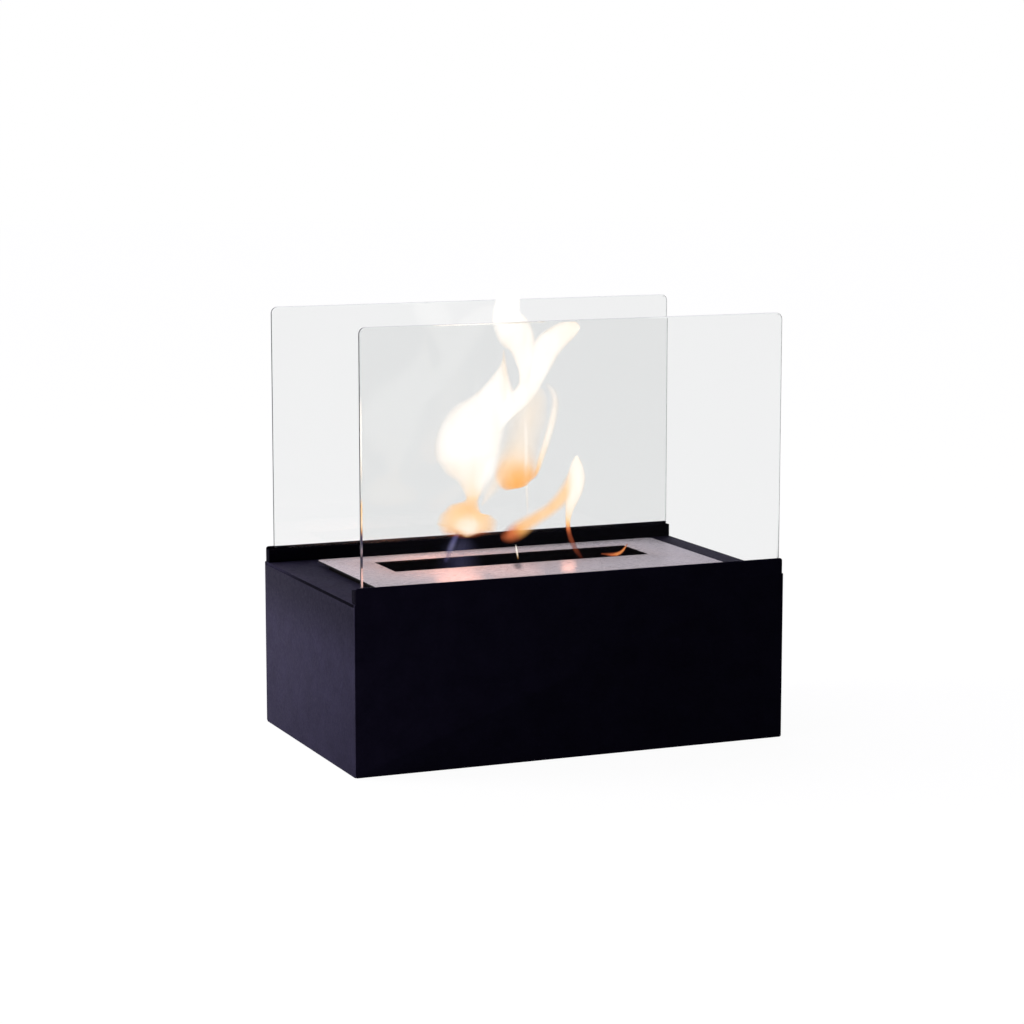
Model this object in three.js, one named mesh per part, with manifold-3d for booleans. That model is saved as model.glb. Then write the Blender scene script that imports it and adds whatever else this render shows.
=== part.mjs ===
// Tabletop bioethanol fireplace: a steel sheet housing with a drop-in stainless burner and
// two loose glass panes that stand in channels along its front and rear edges.
// Millimetres. +X is the right-hand side, -Y the front, +Z up.
// The origin is on the table, under the centre of the housing.

import * as THREE from 'three';
import { mergeVertices } from 'three/addons/utils/BufferGeometryUtils.js';
import Module from 'manifold-3d';

const wasm = await Module();
wasm.setup();

// ---------- Driving sizes: housing ----------
const overallWidth = 350;
const overallDepth = 208;
const overallHeight = 330;
const housingTop = 129.5;
const lipHeight = 12;
const edgeLift = 1;
const housingSheet = 1.5;
const bendRadius = 2.5;
const sideFlange = 14;
const sheetEdgeRound = 0.4;
const lipInset = 1;
const lipCorner = 2;
const panelCorner = 1.5;

// ---------- Driving sizes: base ----------
const baseSheet = 1.5;
const baseCorner = 3;
const angleSheet = 1.5;
const angleEndGap = 15;
const angleLeg = 13;
const screwShank = 3.6;
const screwLength = 7;
const screwHeadDiameter = 7;
const screwHeadHeight = 1.8;
const screwEndMargin = 20;
const recessWidth = 0.9;
const recessLength = 4;
const recessDepth = 1;
const footDiameter = 16;
const footHeight = 3;
const footChamfer = 0.5;
const footInset = 24;

// ---------- Driving sizes: glass and its channels ----------
const glassThickness = 4;
const glassEndInset = 4.5;
const glassShift = 2;
const glassCorner = 5;
const glassArris = 0.4;
const channelSheet = 1.5;
const channelBend = 1.2;
const channelWallDrop = 2;
const padHeight = 1;
const padLength = 30;
const padEndMargin = 36;

// ---------- Driving sizes: burner ----------
const burnerLength = 288;
const burnerWidth = 138;
const burnerRise = 4.6;
const burnerSheet = 1.2;
const burnerCorner = 5;
const burnerEdgeRound = 0.3;
const slotLength = 213;
const slotWidth = 46.5;
const slotOffset = 18;
const slotCorner = 0.5;
const tankLength = 260;
const tankWidth = 100;
const tankDepth = 48;
const tankSheet = 1;
const tankCorner = 6;
const tankSeat = 6;
const woolDepth = 28;
const woolRound = 2;

// ---------- Clearances ----------
const restGap = 0.3;
const glassPlay = 0.5;
const padPlay = 0.2;
const tankPlay = 3;
const woolPlay = 1;
const basePlay = 0.3;
const threadPlay = 0.3;

// ---------- Facets on round stretches ----------
const bendFacets = 10;
const cornerFacets = 6;
const roundFacets = 32;
const smallFacets = 20;

// ---------- Places worked out from the sizes ----------
const halfWidth = overallWidth / 2;
const halfDepth = overallDepth / 2;
const lipTop = housingTop + lipHeight;
const topSheetUnder = housingTop - housingSheet;
const panelBack = halfDepth - housingSheet;
const channelWallOuter = panelBack - glassThickness - 2 * glassPlay;
const channelWallInner = channelWallOuter - channelSheet;
const channelFloor = housingTop + channelSheet;
const glassWidth = overallWidth - 2 * glassEndInset;
const channelLength = overallWidth - 2 * lipInset;
const glassMiddle = panelBack - glassPlay - glassThickness / 2;
const glassBottom = channelFloor + padHeight + restGap;
const burnerTop = housingTop + burnerRise;
const burnerUnder = burnerTop - burnerSheet;
const tankBottom = burnerUnder - tankDepth;
const tankFlange = tankPlay + tankSeat;
const flangeUnder = housingTop + restGap;
const baseUnder = footHeight;
const baseTop = baseUnder + baseSheet;
const angleLength = overallWidth - 2 * angleEndGap;
const screwX = angleLength / 2 - screwEndMargin;
const screwY = panelBack - angleLeg / 2;

// ---------- Finishes ----------
const powderCoat = new THREE.MeshStandardMaterial({ color: 0x17161b, roughness: 0.5, metalness: 0 });
const stainless = new THREE.MeshStandardMaterial({ color: 0xb9b4af, roughness: 0.32, metalness: 1 });
const zincSteel = new THREE.MeshStandardMaterial({ color: 0xa4a6a8, roughness: 0.35, metalness: 1 });
const blackRubber = new THREE.MeshStandardMaterial({ color: 0x1b1b1b, roughness: 0.9, metalness: 0 });
const silicone = new THREE.MeshStandardMaterial({ color: 0x2a2a2c, roughness: 0.7, metalness: 0 });
const ceramicWool = new THREE.MeshStandardMaterial({ color: 0xe8e4dc, roughness: 1, metalness: 0 });
const clearGlass = new THREE.MeshStandardMaterial({
  color: 0xeef4f2,
  roughness: 0.03,
  metalness: 0,
  transparent: true,
  opacity: 0.25,
});

// ---------- Solids ----------
const alongX = new THREE.Matrix4().makeBasis(
  new THREE.Vector3(0, 1, 0),
  new THREE.Vector3(0, 0, 1),
  new THREE.Vector3(1, 0, 0),
);
const alongY = new THREE.Matrix4().makeBasis(
  new THREE.Vector3(1, 0, 0),
  new THREE.Vector3(0, 0, 1),
  new THREE.Vector3(0, -1, 0),
);

function toSolid(geometry) {
  const bare = geometry.clone();
  bare.deleteAttribute('normal');
  bare.deleteAttribute('uv');
  const merged = mergeVertices(bare);
  return new wasm.Manifold(new wasm.Mesh({
    numProp: 3,
    vertProperties: new Float32Array(merged.attributes.position.array),
    triVerts: new Uint32Array(merged.index.array),
  }));
}

function toGeometry(solid) {
  const mesh = solid.getMesh();
  const geometry = new THREE.BufferGeometry();
  geometry.setAttribute('position', new THREE.BufferAttribute(mesh.vertProperties, 3));
  geometry.setIndex(new THREE.BufferAttribute(mesh.triVerts, 1));
  geometry.computeVertexNormals();
  return geometry;
}

// A rectangle centred on (x, y), with one radius for all its corners.
function roundedRectangle(length, breadth, corner, x = 0, y = 0) {
  const right = x + length / 2;
  const left = x - length / 2;
  const top = y + breadth / 2;
  const bottom = y - breadth / 2;
  const shape = new THREE.Shape();
  shape.moveTo(left + corner, bottom);
  shape.lineTo(right - corner, bottom);
  shape.absarc(right - corner, bottom + corner, corner, -Math.PI / 2, 0);
  shape.lineTo(right, top - corner);
  shape.absarc(right - corner, top - corner, corner, 0, Math.PI / 2);
  shape.lineTo(left + corner, top);
  shape.absarc(left + corner, top - corner, corner, Math.PI / 2, Math.PI);
  shape.lineTo(left, bottom + corner);
  shape.absarc(left + corner, bottom + corner, corner, Math.PI, 1.5 * Math.PI);
  return shape;
}

// A sheet cut to a shape in XY, from one height to another, its edges rounded where asked.
function flatPiece(shape, low, high, edge = 0, edgeSteps = 2) {
  const settings = {
    depth: high - low - 2 * edge,
    bevelEnabled: edge > 0,
    bevelThickness: edge,
    bevelSize: edge,
    bevelOffset: -edge,
    bevelSegments: edgeSteps,
    curveSegments: cornerFacets,
  };
  return new THREE.ExtrudeGeometry(shape, settings).translate(0, 0, low + edge);
}

// An upright piece cut to a shape in XZ, its edges rounded or ground all round.
function uprightPiece(shape, front, back, edge, edgeSteps) {
  const settings = {
    depth: back - front - 2 * edge,
    bevelEnabled: true,
    bevelThickness: edge,
    bevelSize: edge,
    bevelOffset: -edge,
    bevelSegments: edgeSteps,
    curveSegments: cornerFacets,
  };
  return new THREE.ExtrudeGeometry(shape, settings).applyMatrix4(alongY).translate(0, back - edge, 0);
}

// A bar with a section drawn in YZ, centred on X = 0.
function barAlongX(section, length) {
  const settings = { depth: length, bevelEnabled: false, curveSegments: cornerFacets };
  return new THREE.ExtrudeGeometry(section, settings).translate(0, 0, -length / 2).applyMatrix4(alongX);
}

function roundPin(diameter, low, high, x, y) {
  const pin = new THREE.CylinderGeometry(diameter / 2, diameter / 2, high - low, smallFacets);
  return pin.rotateX(Math.PI / 2).translate(x, y, (low + high) / 2);
}

// ---------- Assembly ----------
const fireplace = new THREE.Group();

function addPiece(name, geometry, material, parent = fireplace) {
  const piece = new THREE.Mesh(geometry, material);
  piece.name = name;
  parent.add(piece);
  return piece;
}

// The rear half of what repeats at the front is the front half turned about the vertical axis.
const frontSide = new THREE.Group();
const rearSide = new THREE.Group();
rearSide.rotation.z = Math.PI;
fireplace.add(frontSide, rearSide);
const sides = [
  { name: 'front', group: frontSide, turn: 1 },
  { name: 'rear', group: rearSide, turn: -1 },
];

// ---------- Side walls: upright sheets, each folded in at the top as a flange ----------
function sideWallSection() {
  const outer = halfWidth;
  const inner = halfWidth - housingSheet;
  const flangeBottom = topSheetUnder - housingSheet;
  const innerBend = bendRadius - housingSheet;
  const section = new THREE.Shape();
  section.moveTo(outer, edgeLift);
  section.lineTo(outer, topSheetUnder - bendRadius);
  section.absarc(outer - bendRadius, topSheetUnder - bendRadius, bendRadius, 0, Math.PI / 2);
  section.lineTo(outer - sideFlange, topSheetUnder);
  section.lineTo(outer - sideFlange, flangeBottom);
  section.lineTo(inner - innerBend, flangeBottom);
  section.absarc(inner - innerBend, flangeBottom - innerBend, innerBend, Math.PI / 2, 0, true);
  section.lineTo(inner, edgeLift);
  return section;
}

// The right wall turned half round is the left one.
for (const [name, group] of [['right', frontSide], ['left', rearSide]]) {
  const settings = { depth: 2 * panelBack, bevelEnabled: false, curveSegments: bendFacets };
  const wall = new THREE.ExtrudeGeometry(sideWallSection(), settings);
  wall.applyMatrix4(alongY).translate(0, panelBack, 0);
  addPiece(`${name}_side_wall`, wall, powderCoat, group);
}

// ---------- Top sheet: a flat plate on the side walls' flanges, with the tank's cut-out ----------
function topSheet() {
  const blank = roundedRectangle(overallWidth, 2 * panelBack, panelCorner);
  const sheet = flatPiece(blank, topSheetUnder, housingTop, sheetEdgeRound);
  const cutCorner = tankCorner + tankPlay;
  const cutShape = roundedRectangle(tankLength + 2 * tankPlay, tankWidth + 2 * tankPlay, cutCorner);
  const cutOut = flatPiece(cutShape, topSheetUnder - housingSheet, housingTop + housingSheet);
  return toGeometry(toSolid(sheet).subtract(toSolid(cutOut)));
}

addPiece('top_sheet', topSheet(), powderCoat);

// ---------- Front and rear panels: flat plates whose upper edge stands above the top ----------
function panelOutline() {
  const lipEnd = halfWidth - lipInset;
  const outline = new THREE.Shape();
  outline.moveTo(-halfWidth + panelCorner, edgeLift);
  outline.lineTo(halfWidth - panelCorner, edgeLift);
  outline.absarc(halfWidth - panelCorner, edgeLift + panelCorner, panelCorner, -Math.PI / 2, 0);
  outline.lineTo(halfWidth, housingTop);
  outline.lineTo(lipEnd, housingTop);
  outline.lineTo(lipEnd, lipTop - lipCorner);
  outline.absarc(lipEnd - lipCorner, lipTop - lipCorner, lipCorner, 0, Math.PI / 2);
  outline.lineTo(-lipEnd + lipCorner, lipTop);
  outline.absarc(-lipEnd + lipCorner, lipTop - lipCorner, lipCorner, Math.PI / 2, Math.PI);
  outline.lineTo(-lipEnd, housingTop);
  outline.lineTo(-halfWidth, housingTop);
  outline.lineTo(-halfWidth, edgeLift + panelCorner);
  outline.absarc(-halfWidth + panelCorner, edgeLift + panelCorner, panelCorner, Math.PI, 1.5 * Math.PI);
  return outline;
}

for (const side of sides) {
  const panel = uprightPiece(panelOutline(), -halfDepth, -panelBack, sheetEdgeRound, 2);
  addPiece(`${side.name}_panel`, panel, powderCoat, side.group);
}

// ---------- Glass channels: folded strips that hold the foot of each pane against its panel ----------
function channelSection() {
  const inside = -channelWallInner;
  const outside = -channelWallOuter;
  const wallTop = lipTop - channelWallDrop;
  const section = new THREE.Shape();
  section.moveTo(-panelBack, housingTop);
  section.lineTo(inside - channelBend, housingTop);
  section.absarc(inside - channelBend, housingTop + channelBend, channelBend, -Math.PI / 2, 0);
  section.lineTo(inside, wallTop);
  section.lineTo(outside, wallTop);
  section.lineTo(outside, channelFloor);
  section.lineTo(-panelBack, channelFloor);
  return section;
}

for (const side of sides) {
  const channel = barAlongX(channelSection(), channelLength);
  addPiece(`${side.name}_glass_channel`, channel, powderCoat, side.group);
}

// ---------- Setting pads: silicone strips under the ends of each pane ----------
const padMiddle = glassWidth / 2 - padEndMargin;
const padBreadth = glassThickness + 2 * glassPlay - 2 * padPlay;

for (const side of sides) {
  for (const [end, direction] of [['left', -1], ['right', 1]]) {
    const pad = new THREE.BoxGeometry(padLength, padBreadth, padHeight);
    const x = side.turn * (glassShift + direction * padMiddle);
    pad.translate(x, -glassMiddle, channelFloor + padHeight / 2);
    addPiece(`${side.name}_glass_pad_${end}`, pad, silicone, side.group);
  }
}

// ---------- Glass panes: toughened glass, round corners, ground edges ----------
function glassPane(shift) {
  const height = overallHeight - glassBottom;
  const outline = roundedRectangle(glassWidth, height, glassCorner, shift, glassBottom + height / 2);
  const front = -glassMiddle - glassThickness / 2;
  return uprightPiece(outline, front, front + glassThickness, glassArris, 1);
}

for (const side of sides) {
  addPiece(`${side.name}_glass`, glassPane(side.turn * glassShift), clearGlass, side.group);
}

// ---------- Base plate, and the two angles that it is screwed to ----------
const screwPlaces = [-screwX, 0, screwX];

function drilled(geometry, places, low, high) {
  let solid = toSolid(geometry);
  for (const [x, y] of places) {
    const hole = roundPin(screwShank + 2 * threadPlay, low - baseSheet, high + baseSheet, x, y);
    solid = solid.subtract(toSolid(hole));
  }
  return toGeometry(solid);
}

function basePlate() {
  const length = overallWidth - 2 * housingSheet - 2 * basePlay;
  const breadth = 2 * panelBack - 2 * basePlay;
  const plate = flatPiece(roundedRectangle(length, breadth, baseCorner), baseUnder, baseTop);
  const places = screwPlaces.flatMap((x) => [[x, -screwY], [x, screwY]]);
  return drilled(plate, places, baseUnder, baseTop);
}

function baseAngle() {
  const section = new THREE.Shape();
  section.moveTo(-panelBack, baseTop);
  section.lineTo(-panelBack + angleLeg, baseTop);
  section.lineTo(-panelBack + angleLeg, baseTop + angleSheet);
  section.lineTo(-panelBack + angleSheet, baseTop + angleSheet);
  section.lineTo(-panelBack + angleSheet, baseTop + angleLeg);
  section.lineTo(-panelBack, baseTop + angleLeg);
  const places = screwPlaces.map((x) => [x, -screwY]);
  return drilled(barAlongX(section, angleLength), places, baseTop, baseTop + angleSheet);
}

addPiece('base_plate', basePlate(), powderCoat);
for (const side of sides) {
  addPiece(`${side.name}_base_angle`, baseAngle(), powderCoat, side.group);
}

// ---------- Base screws: low pan heads with a cross recess, driven from below ----------
function baseScrew() {
  const headRadius = screwHeadDiameter / 2;
  const edge = screwHeadHeight / 3;
  const profile = [
    new THREE.Vector2(0, -screwHeadHeight),
    new THREE.Vector2(headRadius - 2 * edge, -screwHeadHeight),
    new THREE.Vector2(headRadius - edge / 2, -screwHeadHeight + edge),
    new THREE.Vector2(headRadius, -edge),
    new THREE.Vector2(headRadius, 0),
    new THREE.Vector2(screwShank / 2, 0),
    new THREE.Vector2(screwShank / 2, screwLength - edge),
    new THREE.Vector2(screwShank / 2 - edge, screwLength),
    new THREE.Vector2(0, screwLength),
  ];
  const body = new THREE.LatheGeometry(profile, smallFacets).rotateX(Math.PI / 2);
  let solid = toSolid(body);
  for (const [length, breadth] of [[recessLength, recessWidth], [recessWidth, recessLength]]) {
    const arm = new THREE.BoxGeometry(length, breadth, 2 * recessDepth);
    solid = solid.subtract(toSolid(arm.translate(0, 0, -screwHeadHeight)));
  }
  return toGeometry(solid);
}

const screwNames = ['left', 'middle', 'right'];
for (const side of sides) {
  screwPlaces.forEach((place, index) => {
    const screw = addPiece(`base_screw_${side.name}_${screwNames[index]}`, baseScrew(), zincSteel);
    screw.position.set(place, -side.turn * screwY, baseUnder);
  });
}

// ---------- Feet: rubber discs stuck to the base plate ----------
function foot() {
  const radius = footDiameter / 2;
  const profile = [
    new THREE.Vector2(0, 0),
    new THREE.Vector2(radius - footChamfer, 0),
    new THREE.Vector2(radius, footChamfer),
    new THREE.Vector2(radius, footHeight),
    new THREE.Vector2(0, footHeight),
  ];
  return new THREE.LatheGeometry(profile, roundFacets).rotateX(Math.PI / 2);
}

for (const side of sides) {
  for (const [end, direction] of [['left', -1], ['right', 1]]) {
    const piece = addPiece(`foot_${side.name}_${end}`, foot(), blackRubber);
    piece.position.set(direction * (halfWidth - footInset), -side.turn * (halfDepth - footInset), 0);
  }
}

// ---------- Burner: a slotted plate on an open fuel tank, whose flange ring rests on the top sheet ----------
const burner = new THREE.Group();
fireplace.add(burner);

function burnerPlate() {
  const blank = roundedRectangle(burnerLength, burnerWidth, burnerCorner);
  const sheet = flatPiece(blank, burnerUnder, burnerTop, burnerEdgeRound);
  const slotShape = roundedRectangle(slotLength, slotWidth, slotCorner, 0, slotOffset);
  const slot = flatPiece(slotShape, burnerUnder - burnerSheet, burnerTop + burnerSheet);
  return toGeometry(toSolid(sheet).subtract(toSolid(slot)));
}

function burnerTank() {
  const wall = flatPiece(roundedRectangle(tankLength, tankWidth, tankCorner), tankBottom, burnerUnder);
  const hollowShape = roundedRectangle(
    tankLength - 2 * tankSheet,
    tankWidth - 2 * tankSheet,
    tankCorner - tankSheet,
  );
  const hollow = flatPiece(hollowShape, tankBottom + tankSheet, burnerUnder + tankSheet);
  return toGeometry(toSolid(wall).subtract(toSolid(hollow)));
}

// The ring is welded round the tank, whose outline is its inner edge.
function burnerFlange() {
  const blank = roundedRectangle(
    tankLength + 2 * tankFlange,
    tankWidth + 2 * tankFlange,
    tankCorner + tankFlange,
  );
  blank.holes.push(roundedRectangle(tankLength, tankWidth, tankCorner));
  return flatPiece(blank, flangeUnder, flangeUnder + tankSheet);
}

function burnerWool() {
  const inset = tankSheet + woolPlay;
  const shape = roundedRectangle(
    tankLength - 2 * inset,
    tankWidth - 2 * inset,
    tankCorner - tankSheet,
  );
  const floor = tankBottom + tankSheet + restGap;
  return flatPiece(shape, floor, floor + woolDepth, woolRound);
}

addPiece('burner_plate', burnerPlate(), stainless, burner);
addPiece('burner_tank', burnerTank(), stainless, burner);
addPiece('burner_flange', burnerFlange(), stainless, burner);
addPiece('burner_wool', burnerWool(), ceramicWool, burner);

export default fireplace;
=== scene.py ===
# Tabletop bioethanol fireplace: the looks of every surface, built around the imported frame.
# Metres throughout. +X is the fireplace's right, -Y its front, +Z up.
import math

import bmesh
import bpy
from mathutils import Matrix, Vector


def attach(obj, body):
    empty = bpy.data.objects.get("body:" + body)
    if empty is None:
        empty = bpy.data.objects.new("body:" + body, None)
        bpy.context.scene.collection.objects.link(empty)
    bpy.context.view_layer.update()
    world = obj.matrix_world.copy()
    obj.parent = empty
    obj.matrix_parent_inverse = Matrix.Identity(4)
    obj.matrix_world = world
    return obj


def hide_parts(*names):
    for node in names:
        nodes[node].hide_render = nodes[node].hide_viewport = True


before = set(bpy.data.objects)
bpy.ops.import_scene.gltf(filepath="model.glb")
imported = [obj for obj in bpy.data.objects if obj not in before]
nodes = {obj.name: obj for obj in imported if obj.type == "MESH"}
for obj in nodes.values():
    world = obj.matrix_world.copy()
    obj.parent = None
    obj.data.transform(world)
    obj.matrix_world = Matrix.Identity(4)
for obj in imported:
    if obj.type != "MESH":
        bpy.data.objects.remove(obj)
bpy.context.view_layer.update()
MM = 0.001

# ---------------------------------------------------------------- camera
# The photograph's place: low, to the left of the front, with a long lens.
# Place, aim and lens come from the corners of the housing, glass and burner plate in the photograph.
camera_place = (-0.8687, -2.0419, 0.5084)
camera_down = math.radians(8.596)
camera_turn = math.radians(22.868)

camera_data = bpy.data.cameras.new("camera")
camera_data.lens = 101.66
camera_data.sensor_width = 36.0
camera_data.clip_start = 0.05
camera_data.clip_end = 60.0
camera = bpy.data.objects.new("camera", camera_data)
camera.location = camera_place
camera.rotation_euler = (math.pi / 2 - camera_down, 0.0, -camera_turn)
bpy.context.scene.collection.objects.link(camera)
bpy.context.scene.camera = camera
bpy.context.scene.view_settings.view_transform = "Standard"

# ---------------------------------------------------------------- studio
# A pale floor, a white background and one soft lamp, low at the left and a little behind.
# The room is bright behind and to the left, and dim in front and to the right, as in the photograph.
white = (1.0, 1.0, 1.0, 1.0)
room_bright = (0.84, 0.80, 0.94, 1.0)
room_dim = (0.035, 0.032, 0.042, 1.0)
room_dim_until = 0.30
room_bright_from = 0.72
room_middle = 0.5
room_brighter_rearward = 0.45
room_brighter_rightward = -0.38
floor_radius = 8.0
floor_pale = (0.60, 0.58, 0.62, 1.0)
floor_shaded = (0.05, 0.05, 0.055, 1.0)
floor_shadow_share = (0.10, 0.10, 0.10, 1.0)
floor_white = 0.955
floor_shade_reach = 0.35
floor_brighter_rightward = -0.6


def node_of(tree, kind, place, values=None, **settings):
    """A shader node at a place on the node sheet, with its settings and the values of its sockets."""
    made = tree.nodes.new(kind)
    made.location = place
    for name, value in settings.items():
        setattr(made, name, value)
    for socket, value in (values or {}).items():
        made.inputs[socket].default_value = value
    return made


def wire(tree, *links):
    """Joins sockets. A link is a node and its output, then a node and its input."""
    for giver, output, taker, socket in links:
        tree.links.new(giver.outputs[output], taker.inputs[socket])


def fresh_material(name):
    """An empty node material, its node tree and its output node."""
    material = bpy.data.materials.new(name)
    material.use_nodes = True
    material.node_tree.nodes.clear()
    output = node_of(material.node_tree, "ShaderNodeOutputMaterial", (900, 0))
    return material, material.node_tree, output


def ramp_of(tree, place, *stops):
    """A colour ramp node. A stop is a position and a colour."""
    ramp = node_of(tree, "ShaderNodeValToRGB", place)
    elements = ramp.color_ramp.elements
    elements[0].position, elements[0].color = stops[0]
    elements[1].position, elements[1].color = stops[-1]
    for position, colour in stops[1:-1]:
        elements.new(position).color = colour
    return ramp


def range_of(tree, place, low, high, to_low=0.0, to_high=1.0, **settings):
    """A node that turns values from low to high into values from to_low to to_high."""
    values = {"From Min": low, "From Max": high, "To Min": to_low, "To Max": to_high}
    return node_of(tree, "ShaderNodeMapRange", place, values, **settings)


def math_of(tree, place, operation, values=None, **settings):
    """A node that works out a number."""
    return node_of(tree, "ShaderNodeMath", place, values, operation=operation, **settings)


def blend_of(tree, place, colours):
    """A node that blends colour A into colour B by its factor."""
    return node_of(tree, "ShaderNodeMix", place, colours, data_type="RGBA")


def seen_directly(tree, place):
    """A node that gives 1 to the camera's rays, straight or through glass but not mirrored, else 0."""
    x, y = place
    path = node_of(tree, "ShaderNodeLightPath", place)
    unmirrored = math_of(tree, (x + 200, y - 150), "LESS_THAN", {1: 0.5})
    through = math_of(tree, (x + 350, y - 50), "MULTIPLY")
    either = math_of(tree, (x + 500, y), "MAXIMUM")
    wire(
        tree,
        (path, "Glossy Depth", unmirrored, 0),
        (path, "Is Transmission Ray", through, 0),
        (unmirrored, 0, through, 1),
        (path, "Is Camera Ray", either, 0),
        (through, 0, either, 1),
    )
    return either


world = bpy.data.worlds.new("studio")
bpy.context.scene.world = world
world.use_nodes = True
sky = world.node_tree
sky.nodes.clear()
sky_output = node_of(sky, "ShaderNodeOutputWorld", (900, 0))
sky_background = node_of(sky, "ShaderNodeBackground", (700, 0))
sky_mix = blend_of(sky, (500, 0), {"B": white})
sky_ramp = ramp_of(sky, (200, -150), (room_dim_until, room_dim), (room_bright_from, room_bright))
sky_split = node_of(sky, "ShaderNodeSeparateXYZ", (-400, -150))
sky_coordinates = node_of(sky, "ShaderNodeTexCoord", (-600, -150))
sky_depth = math_of(sky, (-200, -100), "MULTIPLY_ADD", {1: room_brighter_rearward, 2: room_middle})
sky_side = math_of(sky, (0, -150), "MULTIPLY_ADD", {1: room_brighter_rightward})
wire(
    sky,
    (sky_coordinates, "Generated", sky_split, 0),
    (sky_split, "Y", sky_depth, 0),
    (sky_split, "X", sky_side, 0),
    (sky_depth, 0, sky_side, 2),
    (sky_side, 0, sky_ramp, 0),
    (seen_directly(sky, (-100, 250)), 0, sky_mix, "Factor"),
    (sky_ramp, "Color", sky_mix, "A"),
    (sky_mix, "Result", sky_background, "Color"),
    (sky_background, 0, sky_output, 0),
)

bpy.ops.object.select_all(action="DESELECT")
bpy.ops.mesh.primitive_circle_add(vertices=96, radius=floor_radius, fill_type="NGON")
floor = bpy.context.object
floor.name = "studio_floor"
floor_material, floor_tree, floor_output = fresh_material("studio_floor")
floor_place = node_of(floor_tree, "ShaderNodeTexCoord", (-500, 200))
floor_split = node_of(floor_tree, "ShaderNodeSeparateXYZ", (-300, 200))
floor_lean = math_of(floor_tree, (-200, 350), "MULTIPLY_ADD", {1: floor_brighter_rightward})
floor_reach = range_of(floor_tree, (-100, 200), -floor_shade_reach, floor_shade_reach)
floor_tone = blend_of(floor_tree, (100, 200), {"A": floor_shaded, "B": floor_pale})
floor_seen = blend_of(floor_tree, (250, 350), {"B": floor_shadow_share})
floor_diffuse = node_of(floor_tree, "ShaderNodeBsdfDiffuse", (300, 100))
floor_direct = seen_directly(floor_tree, (-600, -200))
floor_level = math_of(floor_tree, (100, -200), "MULTIPLY", {1: floor_white})
floor_glow = node_of(floor_tree, "ShaderNodeEmission", (300, -100))
floor_sum = node_of(floor_tree, "ShaderNodeAddShader", (600, 0))
wire(
    floor_tree,
    (floor_place, "Object", floor_split, 0),
    (floor_split, "X", floor_lean, 0),
    (floor_split, "Y", floor_lean, 2),
    (floor_lean, 0, floor_reach, "Value"),
    (floor_reach, "Result", floor_tone, "Factor"),
    (floor_tone, "Result", floor_seen, "A"),
    (floor_direct, 0, floor_seen, "Factor"),
    (floor_seen, "Result", floor_diffuse, "Color"),
    (floor_direct, 0, floor_level, 0),
    (floor_level, 0, floor_glow, "Strength"),
    (floor_diffuse, 0, floor_sum, 0),
    (floor_glow, 0, floor_sum, 1),
    (floor_sum, 0, floor_output, "Surface"),
)
floor.data.materials.append(floor_material)

key_place = Vector((-1.8, 0.7, 0.45))
key_target = Vector((0.0, 0.0, 0.1))
key_data = bpy.data.lights.new("key_lamp", "AREA")
key_data.shape = "SQUARE"
key_data.size = 0.9
key_data.energy = 32.0
key_lamp = bpy.data.objects.new("key_lamp", key_data)
key_lamp.location = key_place
key_lamp.rotation_euler = (key_target - key_place).to_track_quat("-Z", "Y").to_euler()
bpy.context.scene.collection.objects.link(key_lamp)

# ---------------------------------------------------------------- side walls
# Two upright 1.5 mm steel sheets, each folded in at the top as a flange that carries the top sheet.
# The face panels are welded to their ends, and the housing is powder coated in black as one piece.
wall_outside = 175.0 * MM
wall_half_depth = 102.5 * MM
wall_bottom = 1.0 * MM
wall_top = 128.0 * MM
wall_flange = 14.0 * MM
fold_radius = 2.5 * MM
sheet_thickness = 1.5 * MM
sheet_edge = 0.2 * MM
seam_height = 0.9 * MM
powder_black = (0.015, 0.013, 0.0265, 1.0)
# The near black that painted shade darkens the powder coat towards.
painted_shade_black = (0.0015, 0.0012, 0.003, 1.0)
powder_sheen = (0.50, 0.42, 1.0, 1.0)
powder_cloud_shades = (0.82, 1.18)
# Painted shade: the side walls darken towards their upper edges.
wall_shade_fade = ("Z", 78.0 * MM, 122.0 * MM)
# Painted shade in the seam under the top sheet's edge, darker towards the front.
seam_shade_fade = ("Y", 85.0 * MM, 0.0)


def add_block(name, low, high):
    """A box between two corners, with its place in its mesh."""
    bpy.ops.object.select_all(action="DESELECT")
    low, high = Vector(low), Vector(high)
    bpy.ops.mesh.primitive_cube_add(size=1.0, location=(low + high) / 2)
    piece = bpy.context.object
    piece.name = name
    piece.data.name = name
    piece.scale = high - low
    bpy.ops.object.transform_apply(location=True, rotation=True, scale=True)
    return piece


def pick(piece, part, test):
    """In edit mode, selects only the faces, edges or vertices whose test is true."""
    bpy.ops.mesh.select_mode(type=part)
    bpy.ops.mesh.select_all(action="DESELECT")
    mesh = bmesh.from_edit_mesh(piece.data)
    for item in {"VERT": mesh.verts, "EDGE": mesh.edges, "FACE": mesh.faces}[part]:
        if test(item):
            item.select_set(True)
    mesh.select_flush_mode()
    bmesh.update_edit_mesh(piece.data)


def round_edges(piece, radius, segments, test):
    """Rounds the edges of the active piece whose test is true."""
    bpy.ops.object.mode_set(mode="EDIT")
    pick(piece, "EDGE", test)
    bpy.ops.mesh.bevel(offset=radius, segments=segments)
    bpy.ops.object.mode_set(mode="OBJECT")


def make_active(piece):
    """Selects this piece alone."""
    bpy.ops.object.select_all(action="DESELECT")
    piece.select_set(True)
    bpy.context.view_layer.objects.active = piece


def apply_modifier(piece, kind, **settings):
    """Adds a modifier, gives it its settings and applies it."""
    make_active(piece)
    modifier = piece.modifiers.new(kind.lower(), kind)
    for name, value in settings.items():
        setattr(modifier, name, value)
    bpy.ops.object.modifier_apply(modifier=modifier.name)


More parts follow.
